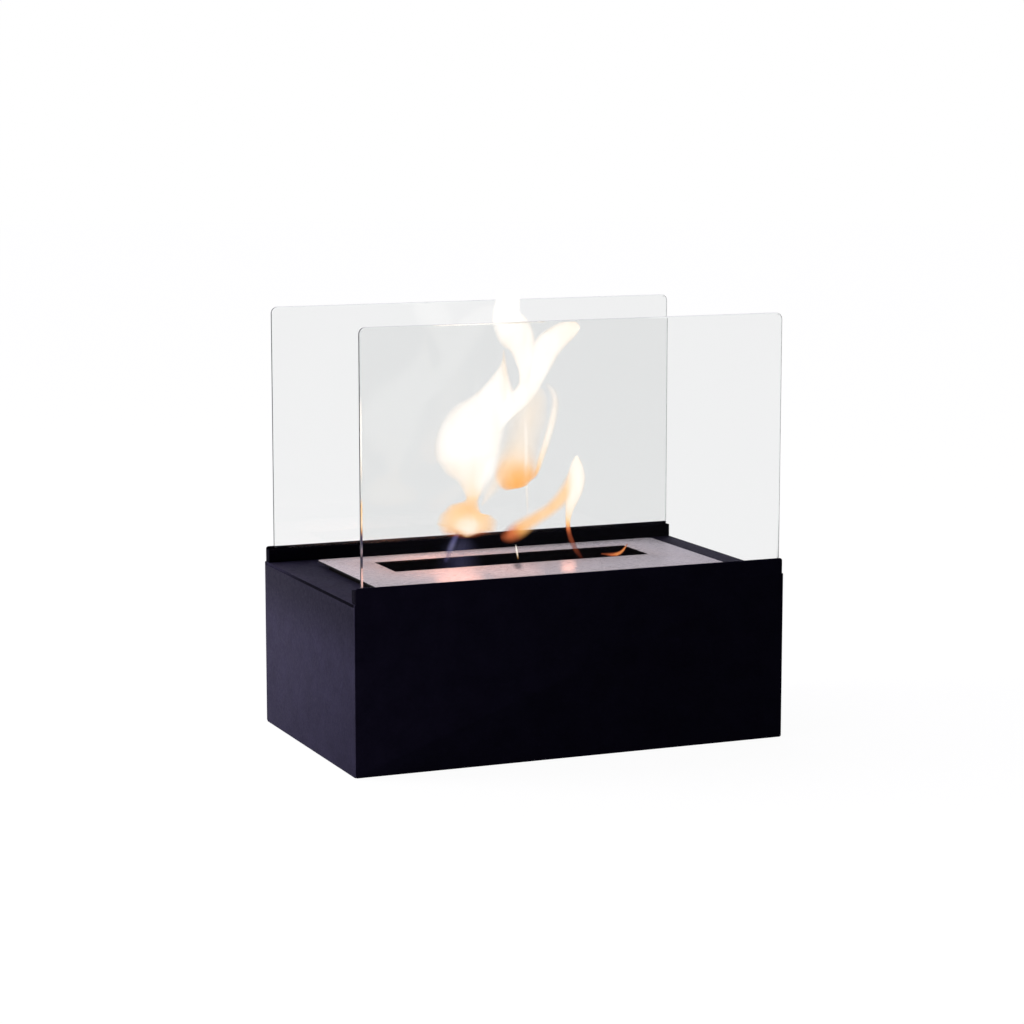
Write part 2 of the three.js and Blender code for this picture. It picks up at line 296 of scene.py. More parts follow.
def finish_edges(piece, width, segments=2, sharp=30.0, smooth=35.0):
    """Rounds every sharp edge by a little, as sanding and paint do, and shades the rest smoothly."""
    apply_modifier(
        piece,
        "BEVEL",
        width=width,
        segments=segments,
        limit_method="ANGLE",
        angle_limit=math.radians(sharp),
        use_clamp_overlap=True,
    )
    bpy.ops.object.shade_smooth_by_angle(angle=math.radians(smooth))


def dress(piece, material, body, slot_name, *stands_for):
    """The finish, the body that it moves with, and the nodes that it stands for."""
    piece.data.materials.clear()
    piece.data.materials.append(material)
    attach(piece, body)
    if stands_for:
        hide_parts(*stands_for)


def second_finish(piece, material, test):
    """Gives the piece a second material on the faces whose test is true."""
    piece.data.materials.append(material)
    for face in piece.data.polygons:
        if test(face):
            face.material_index = len(piece.data.materials) - 1


def turned_copy(piece, name):
    """The same piece at the other side: a copy with its own mesh, turned half round about Z."""
    copy = piece.copy()
    copy.data = piece.data.copy()
    copy.name = name
    copy.data.name = name
    copy.data.transform(Matrix.Rotation(math.pi, 4, "Z"))
    bpy.context.scene.collection.objects.link(copy)
    return copy


def noise_of(tree, place, giver, output, **values):
    """A noise texture on the giver's coordinates."""
    noise = node_of(tree, "ShaderNodeTexNoise", place, values)
    wire(tree, (giver, output, noise, "Vector"))
    return noise


def raise_grain(tree, place, texture, shader, strength, depth):
    """Lets the texture stand up from the shader's surface as a bump."""
    bump = node_of(tree, "ShaderNodeBump", place, {"Strength": strength, "Distance": depth})
    wire(tree, (texture, "Fac", bump, "Height"), (bump, "Normal", shader, "Normal"))


def powder_coat(name, black, roughness, shine, fade=None):
    """Violet black powder coat, pebbled and cloudy. A fade is an axis, and where painted shade starts and is
    full.
    """
    material, tree, output = fresh_material(name)
    sheen = {"Specular IOR Level": shine, "Specular Tint": powder_sheen}
    shader = node_of(tree, "ShaderNodeBsdfPrincipled", (600, 0), sheen)
    place = node_of(tree, "ShaderNodeTexCoord", (-900, 0))
    clouds = noise_of(tree, (-600, 250), place, "Object", Scale=55.0, Detail=6.0, Roughness=0.6)
    specks = noise_of(tree, (-600, -50), place, "Object", Scale=420.0, Detail=3.0)
    pebbles = noise_of(tree, (-600, -350), place, "Object", Scale=900.0, Detail=2.0)
    darker, lighter = [
        tuple(shade * part for part in black[:3]) + (1.0,) for shade in powder_cloud_shades
    ]
    colour = ramp_of(tree, (-300, 250), (0.34, darker), (0.66, lighter))
    gloss = range_of(tree, (-300, -50), 0.3, 0.7, roughness - 0.05, roughness + 0.07)
    raise_grain(tree, (200, -350), pebbles, shader, 0.35, 0.3 * MM)
    wire(
        tree,
        (clouds, "Fac", colour, "Fac"),
        (specks, "Fac", gloss, "Value"),
        (gloss, "Result", shader, "Roughness"),
        (shader, 0, output, "Surface"),
    )
    if fade is None:
        wire(tree, (colour, "Color", shader, "Base Color"))
        return material
    # A fade paints shade: the coat darkens to near black along the axis.
    axis, shade_start, shade_full = fade
    split = node_of(tree, "ShaderNodeSeparateXYZ", (-600, 500))
    rise = range_of(tree, (-300, 500), shade_start, shade_full, interpolation_type="SMOOTHSTEP")
    painted_shade_blend = blend_of(tree, (100, 350), {"B": painted_shade_black})
    wire(
        tree,
        (place, "Object", split, 0),
        (split, axis, rise, "Value"),
        (rise, "Result", painted_shade_blend, "Factor"),
        (colour, "Color", painted_shade_blend, "A"),
        (painted_shade_blend, "Result", shader, "Base Color"),
    )
    return material


powder = powder_coat("powder_coat", powder_black, roughness=0.74, shine=0.24)
# Side walls: painted shade, darker towards the top.
painted_shade_wall_powder = powder_coat("painted_shade_wall_powder_coat", powder_black, roughness=0.74, shine=0.24, fade=wall_shade_fade)
# Seam band: painted crease shade, darker towards the front.
painted_shade_seam_powder = powder_coat("painted_shade_seam_powder_coat", powder_black, roughness=0.85, shine=0.05, fade=seam_shade_fade)
# Near black for faces that sit in shade: painted shade.
painted_shade_powder = powder_coat("painted_shade_powder_coat", painted_shade_black, roughness=0.88, shine=0.08)


def side_wall(name):
    """The right wall: an upright sheet with its upper edge folded in."""
    wall = add_block(
        name,
        (wall_outside - wall_flange, -wall_half_depth, wall_bottom),
        (wall_outside, wall_half_depth, wall_top),
    )
    bpy.ops.object.mode_set(mode="EDIT")
    pick(wall, "FACE", lambda face: face.normal.x < 0.9 and face.normal.z < 0.9)
    bpy.ops.mesh.delete(type="FACE")
    bpy.ops.object.mode_set(mode="OBJECT")
    round_edges(wall, fold_radius, 12, lambda edge: len(edge.link_faces) == 2)
    apply_modifier(wall, "SOLIDIFY", thickness=sheet_thickness, offset=-1.0)
    finish_edges(wall, sheet_edge)
    return wall


right_wall = side_wall("right_wall_sheet")
left_wall = turned_copy(right_wall, "left_wall_sheet")
# The walls' coat is painted darker towards the top, as shade.
dress(right_wall, painted_shade_wall_powder, "housing", "powder_coat", "right_side_wall")
dress(left_wall, painted_shade_wall_powder, "housing", "powder_coat", "left_side_wall")
# The band along each wall's fold takes painted crease shade.
for wall in (right_wall, left_wall):
    second_finish(wall, painted_shade_seam_powder, lambda face: face.center.z > wall_top - seam_height)


# ---------------------------------------------------------------- top sheet
# A flat 1.5 mm steel plate, spot welded on the side walls' flanges and coated with them.
# Its cut-out takes the fuel tank, and a fine seam shows between its edge and the fold under it, with painted
# shade in it.
top_low = Vector((-175.0, -102.5, 128.0)) * MM
top_high = Vector((175.0, 102.5, 129.5)) * MM
top_corner = 1.5 * MM
plate_edge = 0.38 * MM
cut_out_half = Vector((133.0, 53.0, 0.0)) * MM
cut_out_corner = 9.0 * MM


def edge_runs(edge, axis):
    """True for an edge that runs along an axis."""
    way = (edge.verts[1].co - edge.verts[0].co).normalized()
    return abs(getattr(way, axis)) > 0.99


def rounded_block(name, low, high, corner, segments=8):
    """A box between two corners, with its four upright edges rounded."""
    block = add_block(name, low, high)
    round_edges(block, corner, segments, lambda edge: edge_runs(edge, "z"))
    return block


def cut_away(piece, cutter):
    """Takes the cutter's shape out of the piece, and removes the cutter."""
    apply_modifier(piece, "BOOLEAN", operation="DIFFERENCE", solver="EXACT", object=cutter)
    bpy.data.objects.remove(cutter)


top = rounded_block("top_plate", top_low, top_high, top_corner, 6)
opening = rounded_block(
    "opening",
    (-cut_out_half.x, -cut_out_half.y, top_low.z - sheet_thickness),
    (cut_out_half.x, cut_out_half.y, top_high.z + sheet_thickness),
    cut_out_corner,
)
cut_away(top, opening)
finish_edges(top, plate_edge, segments=3)
dress(top, powder, "housing", "powder_coat", "top_sheet")
# Its end edges take painted crease shade.
second_finish(top, painted_shade_seam_powder, lambda face: abs(face.normal.x) > 0.6)

# ---------------------------------------------------------------- front and rear panels
# Two flat steel plates, laser cut and welded to the walls' and top sheet's edges.
# Each stands 12 mm above the top as a lip that the pane leans against.
panel_thickness = 1.5 * MM
panel_back = 102.5 * MM
panel_half_width = 175.0 * MM
panel_bottom = 1.0 * MM
panel_shoulder = 129.5 * MM
lip_rise = 12.0 * MM
lip_inset = 1.0 * MM
lip_corner = 2.0 * MM
panel_corner = 1.5 * MM


def edge_middle(edge):
    """The point halfway along an edge."""
    return (edge.verts[0].co + edge.verts[1].co) / 2


def panel_plate(name):
    """The front panel: a plate, with the lip drawn up from its upper edge."""
    panel = add_block(
        name,
        (-panel_half_width, -panel_back - panel_thickness, panel_bottom),
        (panel_half_width, -panel_back, panel_shoulder),
    )
    bpy.ops.object.mode_set(mode="EDIT")
    pick(panel, "FACE", lambda face: face.normal.z > 0.9)
    bpy.ops.mesh.extrude_region_move(TRANSFORM_OT_translate={"value": (0, 0, 0)})
    bpy.ops.transform.resize(value=(1 - lip_inset / panel_half_width, 1, 1))
    bpy.ops.mesh.extrude_region_move(TRANSFORM_OT_translate={"value": (0, 0, lip_rise)})
    bpy.ops.object.mode_set(mode="OBJECT")
    high = panel_shoulder + lip_rise - MM
    low = panel_bottom + MM
    round_edges(panel, lip_corner, 6, lambda edge: edge_runs(edge, "y") and edge_middle(edge).z > high)
    round_edges(panel, panel_corner, 6, lambda edge: edge_runs(edge, "y") and edge_middle(edge).z < low)
    finish_edges(panel, plate_edge, segments=3)
    return panel


def lip_end(face):
    """True at the two ends of a lip."""
    return abs(face.normal.x) > 0.6 and face.center.z > panel_shoulder


front_plate = panel_plate("front_face_plate")
rear_plate = turned_copy(front_plate, "rear_face_plate")
dress(front_plate, powder, "housing", "powder_coat", "front_panel")
dress(rear_plate, powder, "housing", "powder_coat", "rear_panel")
# Painted shade: the lip ends, and the rear panel's face towards the flames, are near black.
second_finish(front_plate, painted_shade_powder, lip_end)
second_finish(rear_plate, painted_shade_powder, lambda face: face.normal.y < -0.6 or lip_end(face))

# ---------------------------------------------------------------- glass channels
# Folded 1.5 mm steel angles, spot welded along the housing top behind each lip and coated with it.
# A pane's foot stands between the angle's upright wall and the lip, and a small tab closes each end.
channel_half_length = 174.0 * MM
channel_wall_face = 96.0 * MM
channel_wall_top = 139.5 * MM
channel_fold = 1.2 * MM
tab_thickness = 0.8 * MM
tab_edge = 0.15 * MM
touching = 0.1 * MM


def channel_strip(name):
    """The front channel: a flat strip with its inner edge folded up."""
    bpy.ops.object.select_all(action="DESELECT")
    bpy.ops.mesh.primitive_plane_add(size=1.0)
    strip = bpy.context.object
    strip.name = name
    strip.data.name = name
    strip.scale = (2 * channel_half_length, panel_back - channel_wall_face, 1.0)
    strip.location = (0.0, -(panel_back + channel_wall_face) / 2, panel_shoulder)
    bpy.ops.object.transform_apply(location=True, rotation=True, scale=True)

    def inner_edge(edge):
        """True for the strip's inner edge, which becomes the fold."""
        middle = edge_middle(edge)
        low = middle.z < panel_shoulder + touching
        return edge_runs(edge, "x") and middle.y > -channel_wall_face - touching and low

    bpy.ops.object.mode_set(mode="EDIT")
    pick(strip, "EDGE", inner_edge)
    rise = channel_wall_top - panel_shoulder
    bpy.ops.mesh.extrude_region_move(TRANSFORM_OT_translate={"value": (0, 0, rise)})
    bpy.ops.object.mode_set(mode="OBJECT")
    round_edges(strip, channel_fold, 6, inner_edge)
    bpy.ops.object.mode_set(mode="EDIT")
    bpy.ops.mesh.select_all(action="SELECT")
    bpy.ops.mesh.normals_make_consistent(inside=False)
    bpy.ops.object.mode_set(mode="OBJECT")
    level_faces = [face for face in strip.data.polygons if abs(face.normal.z) > 0.9]
    upward = -1.0 if level_faces[0].normal.z < 0 else 1.0
    apply_modifier(strip, "SOLIDIFY", thickness=sheet_thickness, offset=upward)
    finish_edges(strip, sheet_edge)
    return strip


def end_tab(name, side):
    """A small plate that closes one end of the front channel, between its wall and the lip."""
    ends = (side * channel_half_length, side * (channel_half_length - tab_thickness))
    tab = add_block(
        name,
        (min(ends), -panel_back, panel_shoulder + sheet_thickness),
        (max(ends), -channel_wall_face - sheet_thickness, channel_wall_top),
    )
    finish_edges(tab, tab_edge)
    return tab


front_channel = channel_strip("front_channel_strip")
rear_channel = turned_copy(front_channel, "rear_channel_strip")
dress(front_channel, powder, "housing", "powder_coat", "front_glass_channel")
# Painted shade: the rear channel all over, and the ends of both channels, are near black.
dress(rear_channel, painted_shade_powder, "housing", "powder_coat", "rear_glass_channel")
for channel in (front_channel, rear_channel):
    second_finish(channel, painted_shade_powder, lambda face: abs(face.normal.x) > 0.6)
# The end tabs are near black: painted shade.
for side, end in ((-1, "left"), (1, "right")):
    front_tab = end_tab(f"front_channel_tab_{end}", side)
    rear_tab = turned_copy(front_tab, f"rear_channel_tab_{end}")
    dress(front_tab, painted_shade_powder, "housing", "powder_coat")
    dress(rear_tab, painted_shade_powder, "housing", "powder_coat")

# ---------------------------------------------------------------- setting pads
# Four strips of dark silicone, laid loose in the channels under the ends of each pane.
# They keep the glass off the steel.
pad_names = [f"{side}_glass_pad_{end}" for side in ("front", "rear") for end in ("left", "right")]
silicone_dark = (0.045, 0.045, 0.05, 1.0)
silicone_light = (0.075, 0.075, 0.08, 1.0)


def soft_black(name, dark, light, roughness, grain, grain_scale, shine=0.35):
    """A matt black: uneven in tone, with a fine dry grain."""
    material, tree, output = fresh_material(name)
    skin = {"Roughness": roughness, "Specular IOR Level": shine}
    shader = node_of(tree, "ShaderNodeBsdfPrincipled", (600, 0), skin)
    place = node_of(tree, "ShaderNodeTexCoord", (-900, 0))
    clouds = noise_of(tree, (-600, 200), place, "Object", Scale=90.0, Detail=6.0)
    colour = ramp_of(tree, (-300, 200), (0.3, dark), (0.7, light))
    fine = noise_of(tree, (-600, -200), place, "Object", Scale=grain_scale)
    raise_grain(tree, (200, -200), fine, shader, grain, 0.3 * MM)
    wire(
        tree,
        (clouds, "Fac", colour, "Fac"),
        (colour, "Color", shader, "Base Color"),
        (shader, 0, output, "Surface"),
    )
    return material


def refinish(names, material):
    """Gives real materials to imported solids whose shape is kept."""
    for name in names:
        nodes[name].data.materials.clear()
        nodes[name].data.materials.append(material)


silicone = soft_black(
    "silicone", silicone_dark, silicone_light, roughness=0.6, grain=0.2, grain_scale=700.0
)
refinish(pad_names, silicone)

# ---------------------------------------------------------------- base plate and angles
# A powder coated steel plate closes the housing from below.
# It is screwed to two folded angles that are welded inside the front and rear panels.
refinish(["base_plate", "front_base_angle", "rear_base_angle"], powder)

# ---------------------------------------------------------------- base screws
# Six zinc plated pan head screws with a cross recess, driven up through the base plate.
# The zinc is a pale bluish metal with a cloudy sheen.
screw_names = [
    f"base_screw_{side}_{place}" for side in ("front", "rear") for place in ("left", "middle", "right")
]
zinc_dull = (0.50, 0.52, 0.53, 1.0)
zinc_bright = (0.70, 0.71, 0.70, 1.0)
zinc_roughness = (0.25, 0.5)

zinc, zinc_tree, zinc_output = fresh_material("zinc_steel")
zinc_shader = node_of(zinc_tree, "ShaderNodeBsdfPrincipled", (600, 0), {"Metallic": 1.0})
zinc_place = node_of(zinc_tree, "ShaderNodeTexCoord", (-900, 0))
zinc_clouds = noise_of(zinc_tree, (-600, 200), zinc_place, "Object", Scale=260.0, Detail=6.0)
zinc_colour = ramp_of(zinc_tree, (-300, 200), (0.3, zinc_dull), (0.7, zinc_bright))
zinc_gloss = range_of(zinc_tree, (-300, -100), 0.0, 1.0, *zinc_roughness)
wire(
    zinc_tree,
    (zinc_clouds, "Fac", zinc_colour, "Fac"),
    (zinc_clouds, "Fac", zinc_gloss, "Value"),
    (zinc_colour, "Color", zinc_shader, "Base Color"),
    (zinc_gloss, "Result", zinc_shader, "Roughness"),
    (zinc_shader, 0, zinc_output, "Surface"),
)
refinish(screw_names, zinc)

# ---------------------------------------------------------------- feet
# Four black rubber discs, stuck to the base plate near its corners.
# They are moulded, with a dull skin.
foot_names = [f"foot_{side}_{end}" for side in ("front", "rear") for end in ("left", "right")]
rubber_dark = (0.018, 0.018, 0.019, 1.0)
rubber_light = (0.038, 0.037, 0.037, 1.0)
rubber = soft_black(
    "black_rubber", rubber_dark, rubber_light, roughness=0.85, grain=0.4, grain_scale=500.0
)
refinish(foot_names, rubber)


# ---------------------------------------------------------------- burner plate
# A flat satin stainless plate, 1.2 mm thick, spot welded on the tank's upper edge, clear of the top sheet.
# It is brushed along its length, and the flames come up through its one long slot.
plate_low = Vector((-144.0, -69.0, 132.9)) * MM
plate_high = Vector((144.0, 69.0, 134.1)) * MM
plate_corner = 5.0 * MM
plate_arris = 0.28 * MM
plate_pale = (0.77, 0.72, 0.695, 1.0)
plate_dark = (0.53, 0.495, 0.475, 1.0)
slot_low = Vector((-106.5, -5.25, 120.0)) * MM
slot_high = Vector((106.5, 41.25, 140.0)) * MM
slot_corner = 0.5 * MM
straw = (0.50, 0.40, 0.33, 1.0)
straw_share = 0.55
straw_reach = 14.0 * MM
# The dark smudge in front of the slot: its colour, cover, place, size and turn.
smudge_black = (0.03, 0.027, 0.03, 1.0)
smudge_share = 0.93
smudge_place = Vector((-9.5, -15.0, 0.0)) * MM
smudge_reach = Vector((5.0, 29.0, 1000.0)) * MM
smudge_turn = math.radians(-21.0)
# Painted shade: the plate's cut edges are near black, as the gap under the plate and the slot's walls are in
# shade.
edge_dark = (0.004, 0.004, 0.005, 1.0)
edge_brown = (0.012, 0.010, 0.010, 1.0)


def brushed_stainless(name, pale, dark, roughness, marks=None):
    """Stainless steel brushed along X. Marks is a function that lays stains over its colour."""
    material, tree, output = fresh_material(name)
    shader = node_of(tree, "ShaderNodeBsdfPrincipled", (700, 0), {"Metallic": 0.7, "Anisotropic": 0.6})
    across = node_of(tree, "ShaderNodeCombineXYZ", (300, -500), {"Y": 1.0})
    place = node_of(tree, "ShaderNodeTexCoord", (-1300, 0))
    lengthwise = node_of(tree, "ShaderNodeMapping", (-1100, 0), {"Scale": (0.09, 1.0, 1.0)})
    strokes = noise_of(tree, (-850, 100), lengthwise, "Vector", Scale=1900.0, Detail=4.0)
    clouds = noise_of(tree, (-850, 400), place, "Object", Scale=22.0, Detail=4.0)
    specks = noise_of(tree, (-850, 650), place, "Object", Scale=330.0, Detail=3.0)
    mottled = math_of(tree, (-700, 600), "ADD")
    third = math_of(tree, (-750, 450), "MULTIPLY", {1: 0.33})
    blend = math_of(tree, (-700, 300), "MULTIPLY_ADD", {1: 0.34})
    colour = ramp_of(tree, (-600, 250), (0.25, dark), (0.75, pale))
    gloss = range_of(tree, (-300, -50), 0.3, 0.7, roughness - 0.05, roughness + 0.08)
    raise_grain(tree, (300, -300), strokes, shader, 0.12, 0.2 * MM)
    surface = marks(tree, place, clouds, colour) if marks else (colour, "Color")
    wire(
        tree,
        (across, 0, shader, "Tangent"),
        (place, "Object", lengthwise, "Vector"),
        (clouds, "Fac", mottled, 0),
        (specks, "Fac", mottled, 1),
        (mottled, 0, third, 0),
        (strokes, "Fac", blend, 0),
        (third, 0, blend, 2),
        (blend, 0, colour, "Fac"),
        (strokes, "Fac", gloss, "Value"),
        (gloss, "Result", shader, "Roughness"),
        (*surface, shader, "Base Color"),
        (shader, 0, output, "Surface"),
    )
    return material


def burner_marks(tree, place, clouds, colour):
    """Straw heat tint that fades away from the slot's outline, and a dark smudge in front of it."""
    middle = {1: (slot_low + slot_high) / 2}
    half = {1: (slot_high - slot_low) / 2}
    from_middle = node_of(tree, "ShaderNodeVectorMath", (-1100, -500), middle, operation="SUBTRACT")
    either_side = node_of(tree, "ShaderNodeVectorMath", (-900, -500), operation="ABSOLUTE")
    past_slot = node_of(tree, "ShaderNodeVectorMath", (-700, -500), half, operation="SUBTRACT")
    split = node_of(tree, "ShaderNodeSeparateXYZ", (-500, -500))
    farther = math_of(tree, (-300, -500), "MAXIMUM")
    fading = range_of(tree, (-100, -500), 0.0, straw_reach, straw_share, 0.0)
    uneven = math_of(tree, (100, -500), "MULTIPLY")
    tinted = blend_of(tree, (450, 250), {"B": straw})
    outline = {"Location": smudge_place, "Rotation": (0.0, 0.0, smudge_turn), "Scale": smudge_reach}
    smudge = node_of(tree, "ShaderNodeMapping", (-700, -750), outline, vector_type="TEXTURE")
    from_smudge = node_of(tree, "ShaderNodeVectorMath", (-500, -750), operation="LENGTH")
    cover = range_of(tree, (-300, -750), 0.2, 1.0, smudge_share, 0.0, interpolation_type="SMOOTHSTEP")
    smudged = blend_of(tree, (550, 350), {"B": smudge_black})
    wire(
        tree,
        (place, "Object", from_middle, 0),
        (from_middle, 0, either_side, 0),
        (either_side, 0, past_slot, 0),
        (past_slot, 0, split, 0),
        (split, "X", farther, 0),
        (split, "Y", farther, 1),
        (farther, 0, fading, "Value"),
        (fading, "Result", uneven, 0),
        (clouds, "Fac", uneven, 1),
        (uneven, 0, tinted, "Factor"),
        (colour, "Color", tinted, "A"),
        (place, "Object", smudge, 0),
        (smudge, 0, from_smudge, 0),
        (from_smudge, "Value", cover, "Value"),
        (cover, "Result", smudged, "Factor"),
        (tinted, "Result", smudged, "A"),
    )
    return smudged, "Result"


plate_steel = brushed_stainless(
    "stainless_plate", plate_pale, plate_dark, roughness=0.28, marks=burner_marks
)
cut_edge = soft_black(
    "cut_edge_painted_shade", edge_dark, edge_brown, roughness=0.7, grain=0.2, grain_scale=600.0, shine=0.1
)
plate = rounded_block("burner_top_plate", plate_low, plate_high, plate_corner, 10)
cut_away(plate, rounded_block("slot_cutter", slot_low, slot_high, slot_corner, 4))
finish_edges(plate, plate_arris, segments=3)
dress(plate, plate_steel, "burner", "stainless", "burner_plate")
# The cut edges take the near black of painted shade.
second_finish(plate, cut_edge, lambda face: abs(face.normal.z) < 0.9)

# ---------------------------------------------------------------- fuel tank
# A seam-welded stainless box, open at the top under the burner plate, dark inside: partly fuel stain, partly
# painted shade.
# A flat ring is welded round it as a flange, which hangs it on the housing's top sheet by a thin fibre
# gasket. Flange, gasket and the tank's walls above the flange are near black: painted shade in the gap under
# the plate.
tank_low = Vector((-130.0, -50.0, 84.9)) * MM
tank_high = Vector((130.0, 50.0, 132.9)) * MM
tank_sheet = 1.0 * MM
tank_corner = 6.0 * MM
tank_floor_edge = 2.0 * MM
tank_arris = 0.15 * MM
tank_pale = (0.52, 0.49, 0.46, 1.0)
tank_dark = (0.36, 0.33, 0.31, 1.0)
stain_and_shade_dark = (0.003, 0.003, 0.004, 1.0)
stain_and_shade_brown = (0.008, 0.006, 0.006, 1.0)
flange_under = 129.8 * MM
flange_reach = Vector((9.0, 9.0, 0.0)) * MM
gasket_reach = Vector((2.6, 2.6, 0.0)) * MM
gasket_thickness = 0.25 * MM

tank_steel = brushed_stainless("stainless_tank", tank_pale, tank_dark, roughness=0.42)
# Fuel stain and painted shade inside the tank; painted shade on the flange, the gasket and the walls in the
# gap.
soot_and_shade = soft_black(
    "tank_soot_and_painted_shade", stain_and_shade_dark, stain_and_shade_brown, roughness=0.9, grain=0.3, grain_scale=400.0, shine=0.05
)


def floor_rounded(block, radius):
    """Rounds the edges round a block's underside."""
    low = min(vert.co.z for vert in block.data.vertices)
    round_edges(block, radius, 4, lambda edge: edge_middle(edge).z < low + touching)
    return block


tank = floor_rounded(rounded_block("fuel_tank", tank_low, tank_high, tank_corner), tank_floor_edge)
tank_wall = Vector((tank_sheet, tank_sheet, 0.0))
tank_rise = Vector((0.0, 0.0, tank_sheet))
tank_hollow = rounded_block(
    "tank_hollow",
    tank_low + tank_wall + tank_rise,
    tank_high - tank_wall + tank_rise,
    tank_corner - tank_sheet,
)
cut_away(tank, floor_rounded(tank_hollow, tank_floor_edge - tank_sheet))
finish_edges(tank, tank_arris)
dress(tank, tank_steel, "burner", "stainless", "burner_tank")


def stained_and_shaded(face):
    """True inside the tank, and outside it above the flange."""
    centre = face.center
    inside = (
        abs(centre.x) < tank_high.x - 0.8 * tank_sheet
        and abs(centre.y) < tank_high.y - 0.8 * tank_sheet
        and centre.z > tank_low.z + 0.8 * tank_sheet
    )
    return inside or centre.z > flange_under


# Inside the tank: fuel stain and painted shade. Outside, above the flange: painted shade in the gap under
# the plate.
second_finish(tank, soot_and_shade, stained_and_shaded)


def ring_round_tank(name, reach, under, over):
    """A flat ring that fits round the tank and reaches out from it."""
    low = Vector((tank_low.x, tank_low.y, under)) - reach
    high = Vector((tank_high.x, tank_high.y, over)) + reach
    ring = rounded_block(name, low, high, tank_corner + reach.x)
    cut_away(ring, rounded_block("tank_outline", tank_low, tank_high, tank_corner))
    return ring


flange = ring_round_tank("tank_flange", flange_reach, flange_under, flange_under + tank_sheet)
finish_edges(flange, tank_arris)
# The flange is near black: painted shade in the gap under the plate.
dress(flange, soot_and_shade, "burner", "stainless", "burner_flange")

# The gasket, black all over, adds painted shade to the gap under the plate.
gasket = ring_round_tank(
    "flange_gasket", flange_reach + gasket_reach, flange_under - gasket_thickness, flange_under
)
dress(gasket, soot_and_shade, "burner", "silicone")

# ---------------------------------------------------------------- wool
# A loose block of white ceramic fibre wool that soaks up the fuel, pressed into the tank by hand.
# Its top is uneven, scorched grey and brown under the slot.
wool_low = Vector((-127.6, -47.6, 86.3)) * MM
wool_high = Vector((127.6, 47.6, 113.4)) * MM
wool_corner = 7.0 * MM
wool_voxel = 2.4 * MM
wool_charred = (0.035, 0.026, 0.022, 1.0)
wool_brown = (0.16, 0.12, 0.09, 1.0)
wool_grey = (0.42, 0.37, 0.31, 1.0)
wool_white = (0.70, 0.67, 0.62, 1.0)

wool_fibre, wool_tree, wool_output = fresh_material("ceramic_wool")
wool_skin = {"Roughness": 0.95, "Specular IOR Level": 0.1, "Sheen Weight": 0.3}
wool_shader = node_of(wool_tree, "ShaderNodeBsdfPrincipled", (700, 0), wool_skin)
wool_place = node_of(wool_tree, "ShaderNodeTexCoord", (-1200, 0))
wool_blotches = noise_of(wool_tree, (-900, 300), wool_place, "Object", Scale=28.0, Detail=7.0)
wool_scorch = ramp_of(
    wool_tree, (-600, 300), (0.34, wool_charred), (0.47, wool_brown), (0.58, wool_grey), (0.72, wool_white)
)
wool_strands = noise_of(
    wool_tree, (-900, -200), wool_place, "Object", Scale=650.0, Detail=4.0, Distortion=2.5
)
raise_grain(wool_tree, (300, -250), wool_strands, wool_shader, 0.9, 1.2 * MM)
wire(
    wool_tree,
    (wool_blotches, "Fac", wool_scorch, "Fac"),
    (wool_scorch, "Color", wool_shader, "Base Color"),
    (wool_shader, 0, wool_output, "Surface"),
)

wool = rounded_block("fibre_wool_pad", wool_low, wool_high, wool_corner, 4)
apply_modifier(wool, "REMESH", mode="VOXEL", voxel_size=wool_voxel)
for name, width, detail, height, level in (
    ("uneven_wool", 0.022, 3, 3.2 * MM, 0.95),
    ("wool_tufts", 0.006, 2, 1.4 * MM, 0.9),
):
    lumps = bpy.data.textures.new(name, "CLOUDS")
    lumps.noise_scale = width
    lumps.noise_depth = detail
    apply_modifier(wool, "DISPLACE", texture=lumps, texture_coords="LOCAL", strength=height, mid_level=level)
bpy.ops.object.shade_smooth_by_angle(angle=math.pi)
dress(wool, wool_fibre, "burner", "ceramic_wool", "burner_wool")

# ---------------------------------------------------------------- glass panes
# Two loose panes of 4 mm clear toughened glass with round upper corners and ground, polished edges.
# Each stands on its pads in its channel, held only by its weight.
pane_low = Vector((-168.5, -102.0, 132.3)) * MM
pane_high = Vector((172.5, -98.0, 330.0)) * MM
pane_corner = 5.0 * MM
pane_arris = 1.0 * MM
pane_shift = 2.0 * MM
pane_tint = (0.945, 0.952, 0.948, 1.0)
ground_tint = (0.93, 0.96, 0.95, 1.0)


def clear_glass(name, tint, roughness):
    """Clear glass with a faint tint, which mirrors little."""
    material, tree, output = fresh_material(name)
    clear = {"Base Color": tint, "Transmission Weight": 1.0, "IOR": 1.5, "Specular IOR Level": 0.03}
    shader = node_of(tree, "ShaderNodeBsdfPrincipled", (600, 0), clear)
    shader.inputs["Roughness"].default_value = roughness
    wire(tree, (shader, 0, output, "Surface"))
    return material


pane_glass = clear_glass("clear_glass", pane_tint, roughness=0.0)
ground_glass = clear_glass("ground_glass", ground_tint, roughness=0.12)
front_pane = add_block("front_glass_pane", pane_low, pane_high)
round_edges(front_pane, pane_corner, 10, lambda edge: edge_runs(edge, "y"))
finish_edges(front_pane, pane_arris, segments=1, sharp=60.0, smooth=20.0)
rear_pane = turned_copy(front_pane, "rear_glass_pane")
rear_pane.data.transform(Matrix.Translation((2 * pane_shift, 0.0, 0.0)))
for pane, body, node in (
    (front_pane, "front_pane", "front_glass"),
    (rear_pane, "rear_pane", "rear_glass"),
):
    dress(pane, pane_glass, body, "clear_glass", node)
    second_finish(pane, ground_glass, lambda face: abs(face.normal.y) < 0.9)

# ---------------------------------------------------------------- flames
# Burning alcohol vapour, not a solid: pale yellow tongues that stand over the slot, orange at their feet.
# Each tongue is a nest of thin closed shells, which grow denser and whiter towards the middle.
flame_middle = 15.5 * MM
